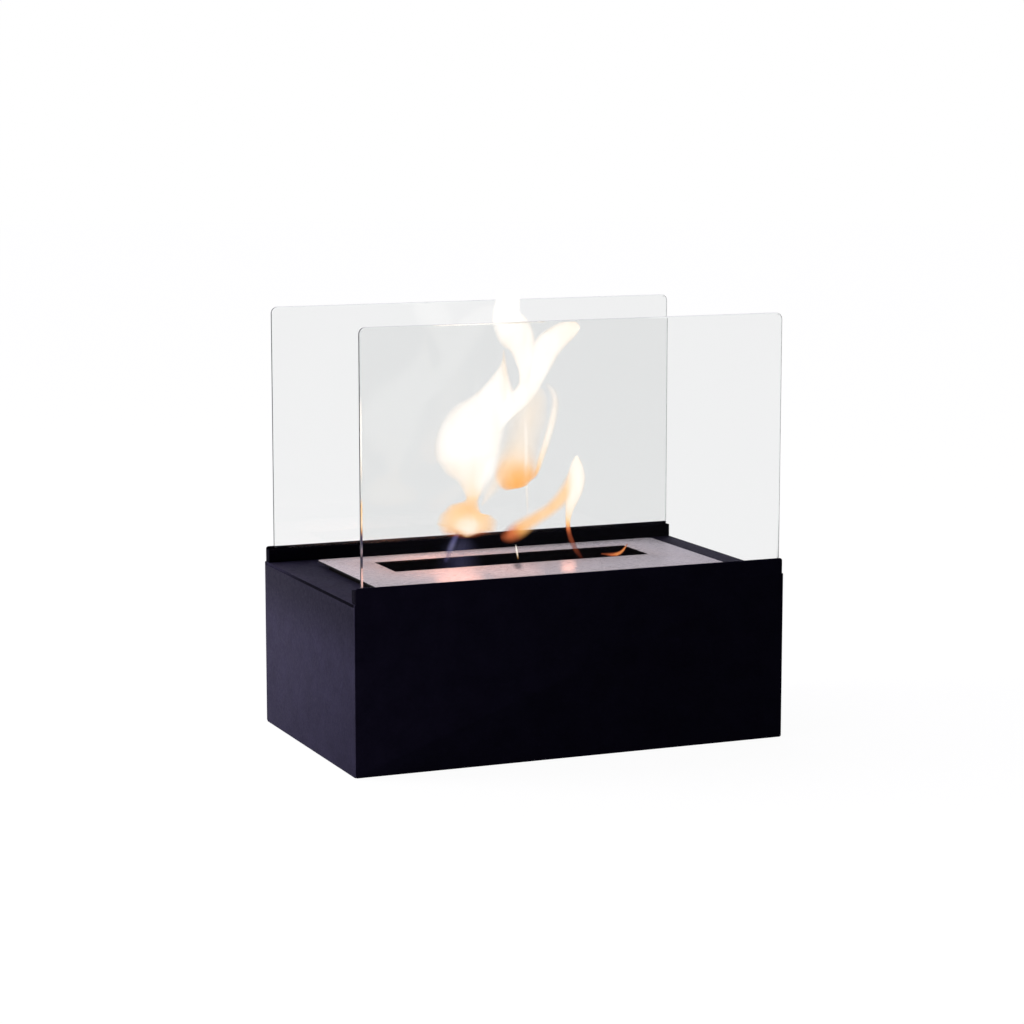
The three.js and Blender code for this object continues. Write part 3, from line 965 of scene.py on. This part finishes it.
# A tongue set back by 1 mm is slid by these too, so that it keeps its place in the photograph.
photo_slide_x = 0.422
photo_slide_z = -0.164
ring_points = 20
steps_between = 4
least_half_width = 0.05
# A shell is its share of the tongue's width and its share of the tongue's density.
crisp_shells = [
    (1.00, 0.08),
    (0.96, 0.12),
    (0.91, 0.18),
    (0.85, 0.26),
    (0.77, 0.34),
    (0.66, 0.42),
    (0.51, 0.50),
    (0.30, 0.55),
]
soft_shells = [
    (1.00, 0.05),
    (0.90, 0.08),
    (0.80, 0.12),
    (0.70, 0.17),
    (0.59, 0.23),
    (0.47, 0.30),
    (0.34, 0.36),
    (0.18, 0.42),
]
# From the coolest gas to the hottest.
flame_colours = [
    (0.0, (0.14, 0.025, 0.012, 1.0)),
    (0.15, (0.70, 0.17, 0.06, 1.0)),
    (0.32, (1.0, 0.47, 0.13, 1.0)),
    (0.50, (1.0, 0.63, 0.32, 1.0)),
    (0.66, (1.0, 0.78, 0.56, 1.0)),
    (0.80, (1.0, 0.90, 0.80, 1.0)),
    (0.92, (1.0, 0.97, 0.94, 1.0)),
]
blue_dark = (0.08, 0.075, 0.22, 1.0)
blue_light = (0.25, 0.24, 0.42, 1.0)
lamp_orange = (1.0, 0.44, 0.30)


def glowing_veil(tree, output, colour, cover, cover_output):
    """Gas that is clear where its cover is 0 and glows where it is 1."""
    clear = node_of(tree, "ShaderNodeBsdfTransparent", (300, 100))
    glow = node_of(tree, "ShaderNodeEmission", (300, -50))
    mix = node_of(tree, "ShaderNodeMixShader", (600, 0))
    wire(
        tree,
        (colour, "Color", glow, "Color"),
        (cover, cover_output, mix, "Fac"),
        (clear, 0, mix, 1),
        (glow, 0, mix, 2),
        (mix, 0, output, "Surface"),
    )
    return glow


def flame_glow(name):
    """Flame whose heat sets its colour and whose density sets its cover, torn into upright strands."""
    material, tree, output = fresh_material(name)
    heat = node_of(tree, "ShaderNodeAttribute", (-900, 200), attribute_name="gas_heat")
    density = node_of(tree, "ShaderNodeAttribute", (-900, -300), attribute_name="gas_cover")
    place = node_of(tree, "ShaderNodeTexCoord", (-1300, -50))
    upright = node_of(tree, "ShaderNodeMapping", (-1100, -50), {"Scale": (1.0, 1.0, 0.22)})
    strands = noise_of(tree, (-900, -50), upright, "Vector", Scale=95.0, Detail=3.0, Distortion=0.6)
    warmer = range_of(tree, (-650, 0), 0.3, 0.7, -0.05, 0.05)
    torn_heat = math_of(tree, (-450, 150), "ADD")
    colour = ramp_of(tree, (-200, 250), *flame_colours)
    strength = range_of(tree, (-200, 0), 0.3, 0.95, 1.15, 1.3)
    thinner = range_of(tree, (-650, -250), 0.32, 0.6, 0.75, 1.0)
    cover = math_of(tree, (-400, -300), "MULTIPLY", use_clamp=True)
    glow = glowing_veil(tree, output, colour, cover, 0)
    wire(
        tree,
        (place, "Object", upright, "Vector"),
        (strands, "Fac", warmer, "Value"),
        (strands, "Fac", thinner, "Value"),
        (heat, "Fac", torn_heat, 0),
        (warmer, "Result", torn_heat, 1),
        (torn_heat, 0, colour, "Fac"),
        (torn_heat, 0, strength, "Value"),
        (density, "Fac", cover, 0),
        (thinner, "Result", cover, 1),
        (strength, "Result", glow, "Strength"),
    )
    return material


def blue_glow(name):
    """The nearly clear blue foot of an alcohol flame."""
    material, tree, output = fresh_material(name)
    density = node_of(tree, "ShaderNodeAttribute", (-700, -200), attribute_name="gas_cover")
    place = node_of(tree, "ShaderNodeTexCoord", (-900, 100))
    wisps = noise_of(tree, (-700, 100), place, "Object", Scale=70.0)
    colour = ramp_of(tree, (-400, 150), (0.3, blue_dark), (0.7, blue_light))
    glowing_veil(tree, output, colour, density, "Fac")
    wire(tree, (wisps, "Fac", colour, "Fac"))
    return material


def between(before, start, end, after, share):
    """A smooth curve through a list's values, between start and end."""
    return tuple(
        0.5
        * (
            2 * b
            + (c - a) * share
            + (2 * a - 5 * b + 4 * c - d) * share**2
            + (3 * b - a - 3 * c + d) * share**3
        )
        for a, b, c, d in zip(before, start, end, after)
    )


def smooth_stations(stations):
    """More stations on a smooth curve through the given ones."""
    path = []
    last = len(stations) - 1
    for index in range(last):
        before = stations[max(index - 1, 0)]
        after = stations[min(index + 2, last)]
        for step in range(steps_between):
            share = step / steps_between
            path.append(between(before, stations[index], stations[index + 1], after, share))
    path.append(tuple(stations[-1]))
    return path


def flame_tongue(name, thickness, material, shells, stations):
    """A tongue of flame. Its thickness is front to back, as a share of its width.

    A station is x, z, half width and y from the slot's middle, all in mm, then the heat at the
    tongue's outside, the heat in its middle, and its density.
    """
    path = smooth_stations(stations)
    rings = len(path)
    verts, faces, heats, densities = [], [], [], []
    for size, veil in shells:
        inward = math.sqrt(1.0 - size)
        first = len(verts)
        for index, (x, z, half, back, outer, inner, dense) in enumerate(path):
            x0, z0 = path[max(index - 1, 0)][:2]
            x1, z1 = path[min(index + 1, rings - 1)][:2]
            along = Vector((x1 - x0, 0.0, z1 - z0)).normalized()
            across = Vector((along.z, 0.0, -along.x))
            middle = Vector((x + back * photo_slide_x, back, z + back * photo_slide_z)) * MM
            middle.y += flame_middle
            half = max(half, least_half_width) * size * MM
            for turn in range(ring_points):
                angle = 2 * math.pi * turn / ring_points
                offset = across * (half * math.cos(angle))
                offset.y += half * thickness * math.sin(angle)
                verts.append(middle + offset)
                heats.append(outer + (inner - outer) * inward)
                densities.append(max(veil * dense, 0.0))
        for ring in range(rings - 1):
            for turn in range(ring_points):
                a = first + ring * ring_points + turn
                b = first + ring * ring_points + (turn + 1) % ring_points
                faces.append((a, b, b + ring_points, a + ring_points))
        faces.append(tuple(reversed(range(first, first + ring_points))))
        last_ring = first + (rings - 1) * ring_points
        faces.append(tuple(range(last_ring, last_ring + ring_points)))
    mesh = bpy.data.meshes.new(name)
    mesh.from_pydata(verts, [], faces)
    mesh.update()
    for label, values in (("gas_heat", heats), ("gas_cover", densities)):
        attribute = mesh.attributes.new(label, "FLOAT", "POINT")
        attribute.data.foreach_set("value", values)
    tongue = bpy.data.objects.new(name, mesh)
    bpy.context.scene.collection.objects.link(tongue)
    make_active(tongue)
    bpy.ops.object.mode_set(mode="EDIT")
    bpy.ops.mesh.select_all(action="SELECT")
    bpy.ops.mesh.normals_make_consistent(inside=False)
    bpy.ops.object.mode_set(mode="OBJECT")
    bpy.ops.object.shade_smooth_by_angle(angle=math.pi)
    tongue.visible_glossy = False
    dress(tongue, material, "burner", "flame")


gas = flame_glow("flame_glow")
blue_gas = blue_glow("flame_blue")

flame_tongue("flame_main", 0.55, gas, crisp_shells, [
    (-35.1, 182.3, 5.4, -1, 0.56, 0.64, 0.35),
    (-34.9, 187, 6.8, -1, 0.62, 0.72, 0.42),
    (-35.1, 191.7, 8.8, -1, 0.68, 0.78, 0.42),
    (-35.5, 196.4, 10.8, -1, 0.7, 0.8, 0.42),
    (-36.3, 201.2, 13.4, -1, 0.71, 0.82, 0.45),
    (-37.6, 205.9, 16.8, -1, 0.72, 0.84, 0.5),
    (-39, 210.7, 21, -1, 0.74, 0.88, 0.62),
    (-39.6, 215.4, 24.4, 0, 0.76, 0.94, 0.8),
    (-39.8, 220.1, 26, 0, 0.79, 1, 0.95),
    (-38.4, 226.9, 26.8, 0, 0.8, 1, 1),
    (-34, 235.3, 26.4, 0, 0.8, 1, 1),
    (-29.2, 242.9, 24.2, 1, 0.8, 1, 1),
    (-24.2, 250.5, 19.8, 2, 0.8, 1, 1),
    (-20.2, 258.1, 15, 2, 0.8, 1, 0.95),
    (-16.3, 266.5, 10.6, 2, 0.8, 0.98, 0.8),
    (-12.9, 274.9, 7.2, 2, 0.8, 0.95, 0.6),
    (-10.2, 283.3, 3.6, 2, 0.8, 0.9, 0.35),
    (-9.2, 290.3, 0.8, 2, 0.8, 0.9, 0.15),
])
flame_tongue("flame_stem", 0.6, gas, soft_shells, [
    (-33, 183.8, 2.9, -3, 0.56, 0.68, 0.25),
    (-31.3, 188.4, 5.8, -3, 0.64, 0.78, 0.4),
    (-29.2, 193.7, 7.9, -3, 0.72, 0.88, 0.5),
    (-26.7, 199.9, 10, -3, 0.76, 0.92, 0.58),
    (-23.8, 206.8, 12.1, -3, 0.78, 0.96, 0.62),
    (-22.1, 212.9, 12.9, -3, 0.78, 0.98, 0.62),
    (-21.6, 219.2, 12.1, -3, 0.78, 0.98, 0.58),
    (-22, 225.4, 9.2, -3, 0.8, 1, 0.5),
    (-22.9, 230.9, 3.3, -3, 0.8, 1, 0.3),
])
flame_tongue("flame_arm", 0.6, gas, crisp_shells, [
    (-21.2, 230.1, 2.5, 0, 0.8, 0.9, 0.1),
    (-16.2, 237.6, 5, 0, 0.8, 0.98, 0.45),
    (-9.4, 246.7, 6.8, 1, 0.8, 1, 0.85),
    (-1.9, 254.2, 7.8, 2, 0.8, 1, 1),
    (5.7, 260.9, 8.5, 2, 0.8, 1, 1),
    (12.1, 268.4, 9, 2, 0.8, 1, 1),
    (16.7, 278.8, 10.5, 3, 0.8, 1, 1),
    (22.2, 289.9, 11.7, 3, 0.78, 1, 1),
    (28.5, 299.8, 11.7, 4, 0.76, 1, 1),
    (37.9, 307.4, 10, 4, 0.74, 0.98, 0.98),
    (46.8, 312.3, 8.2, 4, 0.73, 0.95, 0.95),
    (52.4, 313.6, 5.5, 4, 0.72, 0.92, 0.85),
    (55.8, 313.7, 1.7, 4, 0.72, 0.9, 0.45),
])
flame_tongue("flame_plume", 0.6, gas, crisp_shells, [
    (8.3, 260.8, 3.3, 2, 0.8, 1, 0.5),
    (9.1, 271.7, 4.6, 1, 0.8, 1, 0.9),
    (9.5, 281.8, 5.8, 1, 0.8, 1, 1),
    (8.7, 289.6, 7.9, 0, 0.8, 1, 1),
    (7.4, 297.4, 10, 0, 0.78, 1, 1),
    (5.3, 304.5, 12.9, 0, 0.76, 1, 0.95),
    (0.5, 311.7, 15, -1, 0.78, 1, 0.95),
    (-4.2, 320, 13.8, -1, 0.82, 1, 0.9),
    (-5.6, 327.3, 11.5, -1, 0.88, 1, 0.85),
    (-4.5, 335, 10.5, -1, 0.9, 1, 0.8),
    (-4.2, 339.7, 10, -1, 0.9, 1, 0.6),
    (-4, 343.5, 9.2, -1, 0.9, 1, 0.25),
])
flame_tongue("flame_web", 0.7, gas, soft_shells, [
    (-8.6, 298, 1.2, 1, 0.66, 0.72, 0.1),
    (-8.2, 288.7, 2.5, 1, 0.68, 0.76, 0.25),
    (-7.3, 279.3, 3.3, 1, 0.7, 0.8, 0.4),
    (-5.6, 269.9, 4.2, 1, 0.72, 0.84, 0.6),
    (-4, 262, 6.6, 1, 0.76, 0.9, 0.8),
    (-4, 255.5, 7.5, 1, 0.78, 0.94, 0.7),
    (-5, 249.5, 6.5, 1, 0.8, 0.96, 0.45),
    (-6, 244, 4, 1, 0.8, 0.96, 0.15),
])
flame_tongue("flame_lobe", 0.55, gas, crisp_shells, [
    (4.2, 189.6, 1.5, 3, 0.3, 0.32, 0.2),
    (4.1, 190.2, 5.6, 3, 0.3, 0.32, 0.4),
    (3.9, 191.3, 9.8, 3, 0.3, 0.32, 0.58),
    (3.4, 192.9, 13.4, 3, 0.3, 0.33, 0.72),
    (2.9, 195, 16.2, 3, 0.31, 0.35, 0.8),
    (2.5, 197.8, 18, 3, 0.32, 0.37, 0.78),
    (2.2, 201, 18.9, 3, 0.35, 0.4, 0.7),
    (2.5, 205.7, 19, 3, 0.4, 0.45, 0.48),
    (3.4, 211.2, 18.6, 3, 0.48, 0.54, 0.26),
    (4.6, 217.8, 17.6, 3, 0.56, 0.62, 0.15),
    (6.6, 226.4, 17.5, 3, 0.62, 0.68, 0.1),
    (9.1, 236.5, 18.3, 3, 0.66, 0.72, 0.1),
    (12.5, 245.7, 17.9, 3, 0.68, 0.74, 0.12),
    (16.7, 254.1, 14.2, 3, 0.7, 0.74, 0.12),
    (21, 261, 9.2, 3, 0.7, 0.74, 0.09),
    (23.5, 267.2, 2.5, 3, 0.7, 0.74, 0.04),
])
flame_tongue("flame_veil", 0.6, gas, soft_shells, [
    (-27, 177.8, 1.2, 2, 0.6, 0.64, 0.06),
    (-22.8, 184, 4, 2, 0.64, 0.7, 0.12),
    (-17.8, 190.8, 6.4, 2, 0.66, 0.72, 0.18),
    (-11.8, 197.6, 8.5, 2, 0.66, 0.72, 0.22),
    (-4, 206, 10, 2, 0.66, 0.72, 0.22),
    (3, 216, 12, 2, 0.68, 0.74, 0.15),
    (8, 229, 11.5, 2, 0.7, 0.76, 0.1),
    (11, 243, 8, 2, 0.7, 0.76, 0.08),
    (14, 254, 3, 2, 0.7, 0.76, 0.04),
])
flame_tongue("flame_strand", 0.8, gas, soft_shells, [
    (17.7, 198.3, 0.8, 4, 0.36, 0.42, 0.3),
    (20.2, 203.6, 2.3, 4, 0.44, 0.54, 0.55),
    (22.7, 211.4, 3, 4, 0.58, 0.7, 0.7),
    (26.1, 220.7, 3.3, 4, 0.68, 0.8, 0.75),
    (29.1, 230, 3.5, 4, 0.72, 0.84, 0.7),
    (32.1, 239.3, 3.7, 4, 0.72, 0.84, 0.55),
    (34.2, 248.6, 3.8, 4, 0.72, 0.84, 0.4),
    (35, 256.5, 3.7, 4, 0.72, 0.82, 0.28),
    (32.9, 264.4, 3.5, 4, 0.72, 0.82, 0.15),
    (27.8, 270.1, 2.5, 4, 0.72, 0.8, 0.05),
])
flame_tongue("flame_inner_thread", 0.9, gas, soft_shells, [
    (11.7, 167, 0.8, 4, 0.66, 0.72, 0.04),
    (11.4, 178.1, 1.3, 4, 0.66, 0.74, 0.1),
    (10.9, 188.4, 1.7, 4, 0.7, 0.8, 0.16),
    (10.3, 200.2, 2.2, 4, 0.78, 0.92, 0.3),
    (10.3, 212.8, 2.3, 4, 0.82, 0.96, 0.32),
    (10.3, 225.4, 2.2, 4, 0.82, 0.96, 0.28),
    (10, 236.4, 1.7, 4, 0.82, 0.94, 0.18),
    (9.1, 245.1, 0.8, 4, 0.8, 0.9, 0.08),
])
flame_tongue("flame_foot", 0.6, gas, crisp_shells, [
    (-39.8, 153.1, 10.8, 1, 0.02, 0.05, 0.03),
    (-39.8, 155.9, 18.3, 1, 0.08, 0.14, 0.14),
    (-39.8, 159.4, 23.3, 1, 0.34, 0.46, 0.42),
    (-39.3, 163.3, 25, 1, 0.44, 0.58, 0.58),
    (-39.3, 167.2, 24.2, 1, 0.46, 0.6, 0.66),
    (-38.9, 170.8, 21.7, 1, 0.45, 0.57, 0.72),
    (-38.5, 173.5, 17.9, 1, 0.44, 0.54, 0.72),
    (-37.6, 175.9, 12.5, 1, 0.44, 0.53, 0.62),
    (-36.4, 178.5, 8.2, 0, 0.46, 0.54, 0.48),
    (-35.1, 181.9, 5.8, 0, 0.5, 0.57, 0.4),
    (-34.7, 185, 5, -1, 0.54, 0.62, 0.3),
])
flame_tongue("flame_core", 0.6, gas, soft_shells, [
    (-39.8, 153.6, 3.3, -5, 0.3, 0.5, 0.1),
    (-39.4, 156.7, 8.9, -5, 0.66, 0.9, 0.6),
    (-38.9, 159.8, 12.9, -5, 0.78, 1, 1),
    (-38.9, 163.4, 13.7, -5, 0.8, 1, 1),
    (-38.5, 166.9, 11.8, -5, 0.74, 1, 0.85),
    (-38.1, 170.4, 8, -5, 0.62, 0.84, 0.5),
    (-37.6, 173.5, 3.3, -5, 0.54, 0.7, 0.2),
])
flame_tongue("flame_band", 0.75, gas, soft_shells, [
    (-10.8, 151.1, 3.8, 2, 0.02, 0.05, 0.22),
    (-5.7, 152.4, 6.8, 2, 0.05, 0.1, 0.5),
    (0.7, 155.1, 8.3, 2, 0.16, 0.22, 0.6),
    (7.1, 158.5, 8.3, 2, 0.34, 0.4, 0.62),
    (13.4, 162.1, 7.5, 1, 0.43, 0.47, 0.62),
    (20.7, 166, 6.8, 1, 0.45, 0.49, 0.62),
    (29.7, 170.7, 6.6, 0, 0.46, 0.5, 0.62),
    (39.1, 178.1, 7, 0, 0.46, 0.51, 0.68),
    (45.1, 186.1, 6.7, 0, 0.5, 0.56, 0.68),
    (48.9, 195, 5.4, 0, 0.56, 0.62, 0.5),
    (51.5, 203.6, 2.5, 0, 0.6, 0.66, 0.3),
])
flame_tongue("flame_side", 0.75, gas, crisp_shells, [
    (59.5, 129.4, 1, 0, 0, 0, 0.05),
    (55.6, 134.4, 2.2, 0, 0, 0.01, 0.13),
    (52, 139.8, 2.5, 0, 0, 0.03, 0.22),
    (49.1, 145.6, 2.4, 0, 0.01, 0.04, 0.32),
    (47.2, 151.3, 2.2, 0, 0.03, 0.09, 0.5),
    (46.3, 156.9, 2.1, 0, 0.2, 0.34, 0.62),
    (46.3, 162.5, 2.4, 0, 0.5, 0.68, 0.6),
    (47.3, 169.6, 3.5, 0, 0.62, 0.88, 0.7),
    (49.3, 177.5, 5.6, 0, 0.66, 0.96, 0.8),
    (51.6, 186.1, 7.4, 0, 0.7, 1, 0.9),
    (53.2, 194.8, 7.7, 0, 0.72, 1, 0.95),
    (53.4, 202.3, 6.2, 0, 0.72, 1, 0.9),
    (53.4, 208.2, 3.9, 0, 0.7, 0.95, 0.7),
    (53.6, 212.6, 1, 0, 0.66, 0.9, 0.3),
])
flame_tongue("flame_curl", 0.8, gas, soft_shells, [
    (75.2, 133.1, 0.7, 4, 0.03, 0.06, 0.16),
    (80, 132.4, 1.5, 4, 0.05, 0.14, 0.4),
    (85.2, 131.7, 2, 4, 0.09, 0.24, 0.66),
    (90, 132.2, 1.9, 4, 0.12, 0.31, 0.8),
    (93.9, 134.3, 1.4, 4, 0.12, 0.28, 0.74),
    (96.6, 137.4, 0.8, 4, 0.1, 0.22, 0.56),
    (98.3, 139.7, 0.3, 4, 0.08, 0.16, 0.26),
])
flame_tongue("flame_thread", 0.9, gas, crisp_shells, [
    (3.6, 133.5, 0.3, 0, 0.2, 0.3, 0.08),
    (3.1, 136.5, 0.7, 0, 0.6, 0.74, 0.25),
    (2.6, 139.4, 0.9, 0, 0.74, 0.86, 0.42),
    (2, 142.4, 0.7, 0, 0.76, 0.88, 0.45),
    (1.6, 145, 0.2, 0, 0.76, 0.88, 0.2),
])
flame_tongue("flame_blue_foot", 0.55, blue_gas, soft_shells, [
    (-46, 127, 22, 0, 0, 0, 0.03),
    (-46, 133, 20, 0, 0, 0, 0.05),
    (-45, 141, 18, 0, 0, 0, 0.06),
    (-43, 149, 15, 0, 0, 0, 0.05),
    (-41, 155, 12, 0, 0, 0, 0),
])
flame_tongue("flame_blue_streak", 0.8, blue_gas, soft_shells, [
    (-57.8, 135, 2.5, 0, 0, 0, 0.05),
    (-55.7, 139.6, 3.4, 0, 0, 0, 0.14),
    (-53.6, 144.6, 3.6, 0, 0, 0, 0.21),
    (-51.5, 149.5, 3.5, 0, 0, 0, 0.3),
    (-49, 154.1, 2.9, 0, 0, 0, 0.36),
    (-46.5, 157.9, 1.8, 0, 0, 0, 0.12),
])

# The light that the flames cast on the burner plate, and their soft mirror images in it.
lit_by_flames = bpy.data.collections.new("lit_by_flames")
lit_by_flames.objects.link(plate)


def flame_lamp(name, place, radius, power, mirrored):
    """A small warm lamp inside a flame, for the burner plate alone."""
    data = bpy.data.lights.new(name, "POINT")
    data.shadow_soft_size = radius
    data.energy = power
    data.color = lamp_orange
    lamp = bpy.data.objects.new(name, data)
    lamp.location = place
    lamp.visible_camera = False
    lamp.visible_transmission = False
    lamp.visible_glossy = mirrored
    lamp.visible_diffuse = not mirrored
    lamp.light_linking.receiver_collection = lit_by_flames
    bpy.context.scene.collection.objects.link(lamp)


flame_lamp("foot_flame_light", (-0.050, 0.0155, 0.172), 0.030, 0.62, False)
flame_lamp("foot_flame_image", (-0.046, 0.0155, 0.165), 0.020, 0.026, True)
flame_lamp("arm_flame_image", (0.004, 0.0155, 0.158), 0.022, 0.0065, True)
flame_lamp("side_flame_image", (0.048, 0.0155, 0.150), 0.006, 0.0055, True)

# Rays pass through many of these shells, one behind the other.
bpy.context.scene.cycles.transparent_max_bounces = 128

# ---------------------------------------------------------------- update the view layer
bpy.context.view_layer.update()
